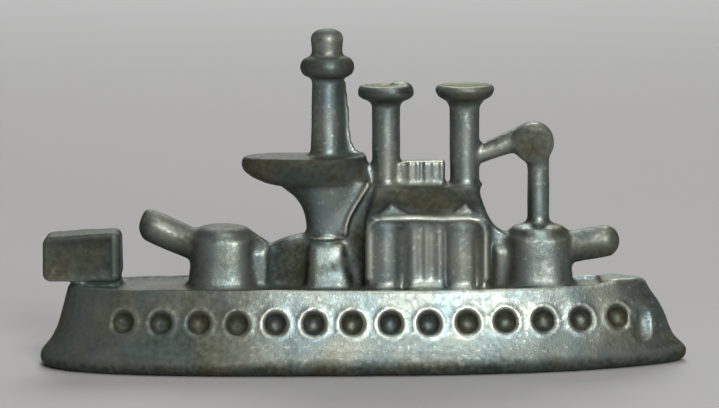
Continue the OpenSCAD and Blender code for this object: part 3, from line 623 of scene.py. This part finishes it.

# Boxes of painted light, on lit faces, fillets and highlights, that lift the painted shade and grime
paintedLight = {
    "tower": [((-2.3, -2, 7.0), (-0.2, -0.9, 9.4), 0.9), ((-0.9, -1.2, 6.9), (0.8, -0.95, 10.4), 0.9),
              ((0.1, -0.6, 9.4), (0.7, 0, 10.8), 0.7)],
    "tower foot": [((-2.6, -2, 4.2), (-0.5, -0.6, 5.0), 1.0), ((-2.5, -2, 5.4), (-0.7, -0.6, 6.2), 0.9)],
    "fighting top": [((-2.0, -1.5, 15.2), (-1.3, -0.8, 16.0), 0.7)],
    "aft turret": [((-5.55, -1.3, 4.3), (-5.0, 0, 6.3), 0.8), ((-7.9, -2, 4.2), (-6.2, -1, 4.7), 0.5)],
    "fore turret": [((6.9, -1.4, 4.3), (7.5, 0, 6.3), 0.6), ((8.8, -2, 4.2), (10.2, -1, 4.9), 0.5),
                    ((8.6, -2, 7.3), (9.6, 0, 8.2), 0.9)],
    "deckhouse": [((0.3, -2.8, 4.2), (6.3, -2.0, 4.9), 1.0), ((0.3, -2.6, 7.7), (6.4, -2.2, 8.0), 0.8)],
    "ribs": [((0.6, -2.6, 4.2), (1.72, -2.1, 7.2), 0.7), ((4.4, -2.6, 4.2), (5.68, -2.1, 7.2), 0.6),
             ((2.2, -2.6, 4.2), (4.2, -2.1, 7.6), 0.6)],
    "hips": [((0.5, -2.6, 7.95), (2.7, -1.9, 8.8), 0.8), ((4.3, -2.6, 7.95), (6.1, -1.9, 8.8), 0.8)],
    "funnels": [((0.3, -1.2, 9.3), (2.0, -0.4, 10.2), 0.7), ((4.6, -1.2, 9.3), (6.0, -0.4, 10.2), 0.9),
                ((1.5, -1.4, 14.1), (2.5, 0, 14.9), 1.0)],
    "skylight": [((2.0, -0.8, 9.5), (4.4, 0, 10.5), 0.5)]}


def bends():  # how far each point lies under or over a smoother skin
    even = skin.co
    for step in range(finishMap["creaseSteps"]):
        even = even + 0.5 * (skin.mean(even) - even)
    bend = ((even - skin.co) * skin.normals()).sum(1) / finishMap["creaseFull"]
    return np.clip(bend, 0, 1), np.clip(-bend, 0, 1)


def crossings(tree, at):  # heights where a ray up from a point meets the skin
    found = []
    hit = tree.ray_cast(at, zAxis)[0]
    while hit is not None:
        found.append(hit.z)
        hit = tree.ray_cast(hit + zAxis * finishMap["past"], zAxis)[0]
    return found


def occlusionShade():  # how much metal lies round each point, from a grid of filled cells, blurred; used as painted shade where it is deep
    look = finishMap
    tree = BVHTree.FromPolygons([Vector(p) for p in skin.co],
                                [p.vertices[:] for p in skin.mesh.polygons])
    cell = look["cell"]
    low = skin.co.min(0) - look["margin"] * cell
    size = np.ceil((skin.co.max(0) - low) / cell).astype(int) + look["margin"]
    filled = np.zeros(size)
    for i, j in np.ndindex(size[0], size[1]):
        start = Vector((low[0] + i * cell, low[1] + j * cell, low[2] - cell))
        rows = [math.ceil((z - low[2]) / cell) for z in crossings(tree, start)]
        for enter, leave in zip(rows[0::2], rows[1::2]):
            filled[i, j, enter:leave] = 1
    spread = look["reach"] / cell
    for axis, length in enumerate(size):
        blur = np.exp(-2 * (math.pi * spread * np.fft.rfftfreq(length)) ** 2)
        shape = [1, 1, 1]
        shape[axis] = -1
        filled = np.fft.irfft(np.fft.rfft(filled, axis=axis) * blur.reshape(shape), length, axis)
    at = (skin.co - low) / cell
    base = np.floor(at).astype(int)
    part = at - base
    found = np.zeros(skin.count)
    for corner in np.ndindex(2, 2, 2):
        weight = np.prod(np.where(corner, part, 1 - part), axis=1)
        found += weight * filled[tuple((base + corner).T)]
    return ramp(found, look["occlusionFrom"], look["occlusionWide"])


# Painted shade that darkens the hull towards its ends, most towards the stern
def hullEndShade():
    found = np.zeros(skin.count)
    for start, full, strength in finishMap["ends"]:
        share = ramp(skin.co[:, 0], start, full - start)
        share = share * share * (3 - 2 * share) * (skin.co[:, 2] < finishMap["endTop"])
        found = np.maximum(found, strength * share)
    return found


def finishes():
    look = finishMap
    hollow, wearAndGlint = bends()
    facing = skin.normals()
    # Painted shade on surfaces that turn aside from the front and from above, darkening every contour
    exposed = np.hypot(facing[:, 1], look["fromAbove"] * np.maximum(facing[:, 2], 0))
    turnedShade = ramp(look["turnedShadeFrom"] - exposed, 0, look["turnedShadeWide"])
    shadeAndStain = np.maximum(inBoxes(shadeAndStains), hullEndShade())
    # Painted shade where surfaces turn aside, where much metal lies round them and in the shade boxes,
    # darker in hollows, with a little random grime
    unshaded = (1 - look["turnedShade"] * turnedShade) * (1 - look["occlusion"] * occlusionShade()) * (1 - look["hollow"] * hollow)
    shadeAndGrime = 1 - unshaded * (1 - shadeAndStain) + look["patch"] * skin.lumps(look["patchLen"])
    # Painted light lifts the shade and grime; painted shadows and the bowls' painted shade stay dark
    shadeAndGrime = np.clip(shadeAndGrime * (1 - inBoxes(paintedLight)), 0, 1)
    shadeAndGrime = np.maximum(np.maximum(shadeAndGrime, inBoxes(paintedShadows)), skin.bowls)
    shadeAndGrime = shadeAndGrime * (1 - look["highlightLift"] * skin.paintedHighlights)
    # Wear on convex edges, with painted highlights along the lips and drawn edges and painted glints on the
    # specks
    wearAndGlint = np.maximum(wearAndGlint * (1 - look["dullShadeAndStain"] * shadeAndStain), look["highlightBright"] * skin.paintedHighlights)
    return shadeAndGrime, np.maximum(wearAndGlint, look["speckGlint"] * glintSpecks * (1 - shadeAndGrime))


shadeAndGrime, wearAndGlint = finishes()
print("hollows and edges mapped")


# Cutting the skin into the ship's pieces: each takes what is left in its room

cutLook = {"top": 30.0, "halfWide": 8.0, "past": 5, "rail": 4.27, "lookoutTo": 0, "mastTo": -0.36,
           "aftCapTo": 3, "foreCapTo": 7.4, "headFrom": 7.72, "headZ": 10.46, "postFrom": 8, "postZ": 7.16,
           "bridgeTo": 0.3, "funnelFrom": -2, "skylightFrom": 0, "foreFunnelTo": 7,
           "towerFrom": -3.2, "towerTo": -0.72, "foreTurretTo": 11.4, "flagTo": -12.1,
           "footMargin": 0.05, "footZ": 4.16, "footHalfY": 0.9,
           "deckFoot": 3.71, "deckMiddle": 3.9, "deckTop": 5,
           "pedestalAft": -5, "pedestalFoot": -0.75, "pedestalTop": 0.45,
           "pedestalFore": [(-0.72, 7.5), (-0.4, 8.1), (-0.2, 8.4), (0.3, 9.1)],
           "jib": ((5.42, 0, 10.76), (8.91, 0, 11.91)), "jibFrom": 0.88, "jibLen": 3, "jibHalf": 0.8,
           "gunTrunnion": 1.7, "gunFrom": 1.62, "gunLen": 5, "gunHalf": 1.2,
           "gunAngle": {"aft": 23.5, "fore": 9.5}}


def room(lowX, highX, lowZ, half=cutLook["halfWide"]):
    return block((lowX, -half, lowZ), (highX, half, cutLook["top"]))


def roomAlong(start, way, length, half):
    return pointed(block((-half, -half, 0), (half, half, length)), start, way)


def gunRoom(end):
    look = cutLook
    start, way = gunLine(end, look["gunTrunnion"], look["gunAngle"][end])
    return roomAlong(start + way * look["gunFrom"], way, look["gunLen"], look["gunHalf"])


def jibRoom():
    look = cutLook
    low, high = (Vector(p) for p in look["jib"])
    way = (high - low).normalized()
    return roomAlong(low + way * look["jibFrom"], way, look["jibLen"], look["jibHalf"])


def pedestalRoom():
    look = cutLook
    lowZ, highZ, aft = lowOf("tower_pedestal").z, lowOf("bridge_platform").z, look["pedestalAft"]
    return plate([(aft, lowZ), (look["pedestalFoot"], lowZ)] + look["pedestalFore"]
                 + [(look["pedestalTop"], highZ), (aft, highZ)], 2 * look["halfWide"])


def footRoom():
    look = cutLook
    aft, fore = lowOf("flag_foot").x - look["footMargin"], highOf("flag_foot").x + look["footMargin"]
    return room(aft, fore, look["footZ"], look["footHalfY"])


def deckRoom():
    look = cutLook
    bm = copyOf("main_deck")
    for v in bm.verts:
        v.co.z = look["deckTop"] if v.co.z > look["deckMiddle"] else look["deckFoot"]
    return bm


def rooms():
    look = cutLook
    rail, towerFrom, towerTo = look["rail"], look["towerFrom"], look["towerTo"]
    left, right = lowOf("ship_hull").x - look["past"], highOf("ship_hull").x + look["past"]
    houseFrom = lowOf("deckhouse").x
    houseTo = (highOf("deckhouse").x + lowOf("fore_turret").x) / 2
    aftTurretTo = highOf("aft_turret").x
    return [("lookout", room(left, look["lookoutTo"], lowOf("lookout").z)),
            ("fighting_top", room(left, look["lookoutTo"], lowOf("fighting_top").z)),
            ("mast", room(left, look["mastTo"], highOf("bridge_platform").z)),
            ("aft_funnel_cap", room(look["mastTo"], look["aftCapTo"], lowOf("aft_funnel_cap").z)),
            ("fore_funnel_cap", room(look["aftCapTo"], look["foreCapTo"], lowOf("fore_funnel_cap").z)),
            ("crane_head", room(look["headFrom"], right, look["headZ"])),
            ("crane_jib", jibRoom()),
            ("crane_post", room(look["postFrom"], right, look["postZ"])),
            ("bridge_platform", room(left, look["bridgeTo"], lowOf("bridge_platform").z)),
            ("aft_funnel", room(look["funnelFrom"], highOf("aft_funnel").x, lowOf("aft_funnel").z)),
            ("fore_funnel", room(lowOf("fore_funnel").x, look["foreFunnelTo"], lowOf("fore_funnel").z)),
            ("skylight", room(look["skylightFrom"], look["foreFunnelTo"], lowOf("skylight").z)),
            ("tower_pedestal", pedestalRoom()),
            ("deckhouse_roof", room(houseFrom, houseTo, lowOf("deckhouse_roof").z)),
            ("fore_gun", gunRoom("fore")),
            ("aft_gun", gunRoom("aft")),
            ("fore_turret", room(houseTo, look["foreTurretTo"], rail)),
            ("deckhouse", room(houseFrom, houseTo, rail)),
            ("tower_wall", room(towerTo, houseFrom, rail)),
            ("tower_base", room(towerFrom, towerTo, rail)),
            ("low_wall", room(aftTurretTo, towerFrom, rail)),
            ("aft_turret", room(look["flagTo"], aftTurretTo, rail)),
            ("stern_flag", room(left, look["flagTo"], lowOf("stern_flag").z)),
            ("flag_foot", footRoom()),
            ("main_deck", deckRoom())]


def cutter(bm):  # its faces carry slot 1, so that a cut face can be told from the skin
    mesh = meshOf(bm, "cutter")
    mesh.materials.append(None)
    mesh.materials.append(None)
    for p in mesh.polygons:
        p.material_index = 1
    return linked("cutter", mesh)


def boolean(mesh, tool, operation):
    obj = linked("stock", mesh)
    cut = obj.modifiers.new("cut", "BOOLEAN")
    cut.object, cut.operation, cut.solver = tool, operation, "MANIFOLD"
    made = evaluated(obj)
    bpy.data.objects.remove(obj)
    return made


normals = skin.normals()
nearest = KDTree(skin.count)
for k, p in enumerate(skin.co):
    nearest.insert(p, k)
nearest.balance()
stock = skin.mesh
stock.materials.append(None)
stock.materials.append(None)
pieces = {}
for name, shape in rooms():
    tool = cutter(shape)
    pieces[name] = boolean(stock, tool, "INTERSECT")
    stock = boolean(stock, tool, "DIFFERENCE")
    bpy.data.objects.remove(tool)
pieces["ship_hull"] = stock
print("cut into", len(pieces), "pieces")


# Materials: a grain shared by both metals, and metal that turns to a dull dark patina colour under the
# painted shade and grime

grainLook = {"Coarse": (500, 3), "Medium": (1500, 4), "Fine": (6500, 4)}  # scale, detail
grainOutputs = {"Tone": "Coarse", "Mottle": "Medium", "Height": "Fine"}


def socket(tree, kind, name, way, default=None):
    made = tree.interface.new_socket(name, in_out=way, socket_type=kind)
    if default is not None:
        made.default_value = default


def grainGroup():
    tree = bpy.data.node_groups.new("castGrain", "ShaderNodeTree")
    socket(tree, "NodeSocketVector", "Vector", "INPUT")
    start, end = tree.nodes.new("NodeGroupInput"), tree.nodes.new("NodeGroupOutput")
    made = {}
    for name, (scale, detail) in grainLook.items():
        socket(tree, "NodeSocketFloat", name, "INPUT", scale)
        made[name] = tree.nodes.new("ShaderNodeTexNoise")
        made[name].inputs["Detail"].default_value = detail
        tree.links.new(start.outputs["Vector"], made[name].inputs["Vector"])
        tree.links.new(start.outputs[name], made[name].inputs["Scale"])
    for name, source in grainOutputs.items():
        socket(tree, "NodeSocketFloat", name, "OUTPUT")
        tree.links.new(made[source].outputs["Fac"], end.inputs[name])
    return tree


castGrain = grainGroup()


def ranged(tree, source, fromLow, fromHigh, toLow, toHigh):
    node = tree.nodes.new("ShaderNodeMapRange")
    ends = {"From Min": fromLow, "From Max": fromHigh, "To Min": toLow, "To Max": toHigh}
    for key, value in ends.items():
        node.inputs[key].default_value = value
    tree.links.new(source, node.inputs["Value"])
    return node.outputs["Result"]


def mixed(tree, share, a, b):
    node = tree.nodes.new("ShaderNodeMix")
    node.data_type = "RGBA"
    tree.links.new(share, node.inputs["Factor"])
    for where, value in zip([s for s in node.inputs if s.type == "RGBA"], (a, b)):
        if isinstance(value, tuple):
            where.default_value = (*value, 1)
        else:
            tree.links.new(value, where)
    return [s for s in node.outputs if s.type == "RGBA"][0]


def mathNode(tree, operation, *terms):
    node = tree.nodes.new("ShaderNodeMath")
    node.operation = operation
    for where, term in zip(node.inputs, terms):
        if isinstance(term, float):
            where.default_value = term
        else:
            tree.links.new(term, where)
    return node


brightLook = {"steel": (0.32, 0.345, 0.305), "steelCool": (0.235, 0.295, 0.305),
              "shadePatina": (0.052, 0.05, 0.031), "shadePatinaCool": (0.036, 0.047, 0.04),
              "wearAndGlint": (0.6, 0.62, 0.54), "edgeTint": (0.35, 0.32, 0.26), "specular": 0.3,
              "toneRange": (0.38, 0.62), "mottleRange": (0.3, 0.7), "spotted": 0.12,
              "wearAndGlintRange": (0.25, 0.9), "wearAndGlintMost": 0.8, "oxideRange": (0.2, 0.9), "oxide": 0.2,
              "smooth": 0.36, "rough": 0.48, "shadeAndGrimeRough": 0.1, "bump": 0.3, "bumpDepth": 0.000035,
              "Coarse": 420, "Medium": 3600, "Fine": 9000}
darkLook = {**brightLook, "steel": (0.24, 0.25, 0.21), "steelCool": (0.15, 0.19, 0.19),
            "wearAndGlint": (0.48, 0.5, 0.44)}


def castMetal(name, look):
    mat = bpy.data.materials.new(name)
    mat.use_nodes = True
    tree = mat.node_tree
    nodes, links = tree.nodes, tree.links
    shader = nodes["Principled BSDF"]
    place = nodes.new("ShaderNodeTexCoord")
    grain = nodes.new("ShaderNodeGroup")
    grain.node_tree = castGrain
    for key in grainLook:
        grain.inputs[key].default_value = look[key]
    links.new(place.outputs["Object"], grain.inputs["Vector"])
    found = {}
    for key in ("shadeAndGrime", "wearAndGlint"):
        node = nodes.new("ShaderNodeAttribute")
        node.attribute_name = key
        found[key] = node.outputs["Fac"]
    tone = ranged(tree, grain.outputs["Tone"], *look["toneRange"], 0, 1)
    spots = ranged(tree, grain.outputs["Mottle"], *look["mottleRange"], -look["spotted"], look["spotted"])
    spread = mathNode(tree, "ADD", found["shadeAndGrime"], spots)
    spread.use_clamp = True
    colour = mixed(tree, tone, look["steel"], look["steelCool"])
    # The dull dark colour painted for shade and grime
    shadePatina = mixed(tree, tone, look["shadePatina"], look["shadePatinaCool"])
    colour = mixed(tree, spread.outputs[0], colour, shadePatina)
    # The pale colour painted for wear and highlights
    bright = ranged(tree, found["wearAndGlint"], *look["wearAndGlintRange"], 0, look["wearAndGlintMost"])
    links.new(mixed(tree, bright, colour, look["wearAndGlint"]), shader.inputs["Base Color"])
    metal = ranged(tree, spread.outputs[0], *look["oxideRange"], 1, look["oxide"])
    links.new(metal, shader.inputs["Metallic"])
    shader.inputs["Specular IOR Level"].default_value = look["specular"]
    shader.inputs["Specular Tint"].default_value = (*look["edgeTint"], 1)
    rough = ranged(tree, grain.outputs["Mottle"], *look["mottleRange"], look["smooth"], look["rough"])
    rough = mathNode(tree, "MULTIPLY_ADD", found["shadeAndGrime"], look["shadeAndGrimeRough"], rough)
    links.new(rough.outputs[0], shader.inputs["Roughness"])
    bump = nodes.new("ShaderNodeBump")
    bump.inputs["Strength"].default_value = look["bump"]
    bump.inputs["Distance"].default_value = look["bumpDepth"]
    links.new(grain.outputs["Height"], bump.inputs["Height"])
    links.new(bump.outputs["Normal"], shader.inputs["Normal"])
    return mat


castBright = castMetal("castMetal", brightLook)
castDark = castMetal("darkCastMetal", darkLook)
darkPieces = {"stern_flag", "bridge_platform", "fighting_top", "aft_funnel_cap", "fore_funnel_cap",
              "deckhouse_roof"}
print("materials made")


# Pieces: each takes the uncut skin's normals and finish, so that no seam shows

def paint(mesh, found):
    for key, values in (("shadeAndGrime", shadeAndGrime), ("wearAndGlint", wearAndGlint)):
        painted = mesh.attributes.new(key, "FLOAT", "POINT")
        painted.data.foreach_set("value", values[found].astype(np.float32))


def cornerNormals(mesh, found):  # flat on the cut faces, and the uncut skin's elsewhere
    faces = mesh.polygons
    sizes = fetched(faces, "loop_total", kind=np.int32)
    isCut = np.repeat(fetched(faces, "material_index", kind=np.int32) == 1, sizes)
    flat = np.repeat(fetched(faces, "normal", 3), sizes, axis=0)
    corners = fetched(mesh.loops, "vertex_index", kind=np.int32)
    return np.where(isCut[:, None], flat, normals[found[corners]]).astype(np.float32)


def finished(name, mesh):
    found = np.array([nearest.find(p)[1] for p in fetched(mesh.vertices, "co", 3)])
    byCorner = cornerNormals(mesh, found)
    paint(mesh, found)
    mesh.polygons.foreach_set("material_index", np.zeros(len(mesh.polygons), np.int32))
    mesh.polygons.foreach_set("use_smooth", np.ones(len(mesh.polygons), bool))
    mesh.transform(Matrix.Scale(1 / perMetre, 4))
    mesh.normals_split_custom_set(byCorner)
    mesh.materials.clear()
    dark = name in darkPieces
    mesh.materials.append(castDark if dark else castBright)
    piece = linked("cast_" + name, mesh)
    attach(piece, "root")
    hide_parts(name)


for name, mesh in pieces.items():
    finished(name, mesh)
print("pieces finished")


# Floor, light and camera, in metres

stageLook = {"floor": (0.45, 0.445, 0.46), "floorR": 2.5, "floorRough": 0.9, "world": (0.12, 0.105, 0.08)}
lampLook = {  # place, aim, power, size, colour
    "key": ((0.0465, -0.2015, 0.082), (0, 0, 0.007), 0.23, 0.07, (0.97, 1, 0.98)),
    "overhead": ((0, 0.05, 0.6), (0, 0, 0), 0.66, 0.4, (0.98, 1, 0.99)),
    "upper": ((0.035, -0.14, 0.22), (0, 0, 0.006), 0.14, 0.08, (1, 1, 0.93)),
    "backdrop": ((0, 0.5, 0.45), (0, 0.42, 0), 2.3, 0.4, (0.98, 1, 1)),
    "rear": ((0, 0.9, 0.3), (0, 0, 0), 0.8, 0.5, (0.98, 1, 0.99))}
cameraLook = {"place": (-0.00018, -0.15, 0.0287), "aim": (-0.00018, 0, 0.00835), "roll": -0.3,
              "lens": 145.05, "sensor": 36, "clipStart": 0.01}


def facing(place, aim):
    return (Vector(aim) - Vector(place)).to_track_quat("-Z", "Y")


def layFloor():
    bm = bmesh.new()
    bmesh.ops.create_circle(bm, cap_ends=True, segments=64, radius=stageLook["floorR"])
    floor = linked("floor", meshOf(bm, "floor"))
    paper = bpy.data.materials.new("paper")
    paper.use_nodes = True
    shader = paper.node_tree.nodes["Principled BSDF"]
    shader.inputs["Base Color"].default_value = (*stageLook["floor"], 1)
    shader.inputs["Roughness"].default_value = stageLook["floorRough"]
    floor.data.materials.append(paper)


def lightWorld():
    world = bpy.data.worlds.new("studio")
    bpy.context.scene.world = world
    world.use_nodes = True
    world.node_tree.nodes["Background"].inputs["Color"].default_value = (*stageLook["world"], 1)


def hangLamp(name, place, aim, power, size, colour):
    data = bpy.data.lights.new(name, "AREA")
    data.shape, data.size, data.energy, data.color = "DISK", size, power, colour
    lamp = linked(name, data)
    lamp.location = place
    lamp.rotation_euler = facing(place, aim).to_euler()


def setCamera():
    look = cameraLook
    camera = linked("camera", bpy.data.cameras.new("camera"))
    camera.location = look["place"]
    roll = Matrix.Rotation(math.radians(look["roll"]), 3, "Z")
    camera.rotation_euler = (facing(look["place"], look["aim"]).to_matrix() @ roll).to_euler()
    camera.data.lens, camera.data.sensor_width = look["lens"], look["sensor"]
    camera.data.clip_start = look["clipStart"]
    bpy.context.scene.camera = camera
    bpy.context.scene.view_settings.view_transform = "Standard"


layFloor()
lightWorld()
for name, lampSettings in lampLook.items():
    hangLamp(name, *lampSettings)
setCamera()
print("floor, lamps and camera set")
